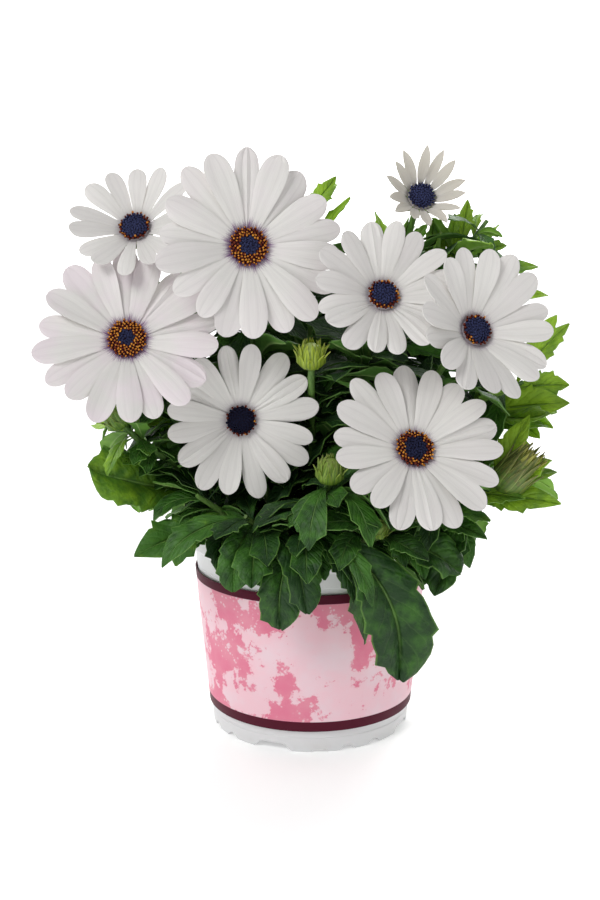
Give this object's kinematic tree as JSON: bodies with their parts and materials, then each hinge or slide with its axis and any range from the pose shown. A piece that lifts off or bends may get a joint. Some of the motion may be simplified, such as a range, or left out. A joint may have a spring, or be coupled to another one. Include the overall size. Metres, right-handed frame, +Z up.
{
  "type": "potted osteospermum",
  "caption": "Bushy white daisy-like flowering plant with dark blue eyes and toothed green leaves, growing in a tapered white nursery pot with a printed band.",
  "frame": {"origin": "under the middle of the whole plant's box, on the surface that the pot stands on; the pot's axis runs through it", "axes": "+Z up along the pot's axis; the blooms face -Y, the front; +X to the viewer's right"},
  "size_m": [0.2164, 0.1789, 0.2497],
  "materials": {
    "pot_white": "satin white plastic",
    "printed_band": "printed, soft gloss",
    "potting_soil": "dry crumbly compost",
    "ray_white": "white ray florets with a pale mauve cast",
    "eye_dark": "dark blue disc florets with orange pollen",
    "leaf_green": "fleshy satin green leaves and stems"
  },
  "bodies": {
    "root": {"pot": "pot_white", "label_band": "printed_band", "soil": "potting_soil", "stem_1": "leaf_green", "stem_2": "leaf_green", "stem_3": "leaf_green", "stem_4": "leaf_green", "stem_5": "leaf_green", "stem_6": "leaf_green", "stem_7": "leaf_green", "stem_8": "leaf_green", "shoot_back": "leaf_green", "shoot_back_left": "leaf_green", "shoot_back_right": "leaf_green", "shoot_centre": "leaf_green", "shoot_front": "leaf_green", "shoot_front_left": "leaf_green", "shoot_front_low": "leaf_green", "shoot_front_right": "leaf_green", "shoot_left": "leaf_green", "shoot_left_back": "leaf_green", "shoot_left_low": "leaf_green", "shoot_right": "leaf_green", "shoot_right_front": "leaf_green", "shoot_right_low": "leaf_green", "shoot_top": "leaf_green", "bloom_1_eye": "eye_dark", "bloom_1_rays": "ray_white", "bloom_2_eye": "eye_dark", "bloom_2_rays": "ray_white", "bloom_3_eye": "eye_dark", "bloom_3_rays": "ray_white", "bloom_4_eye": "eye_dark", "bloom_4_rays": "ray_white", "bloom_5_eye": "eye_dark", "bloom_5_rays": "ray_white", "bloom_6_eye": "eye_dark", "bloom_6_rays": "ray_white", "bloom_7_eye": "eye_dark", "bloom_7_rays": "ray_white", "bloom_8_eye": "eye_dark", "bloom_8_rays": "ray_white"}
  },
  "joints": []
}
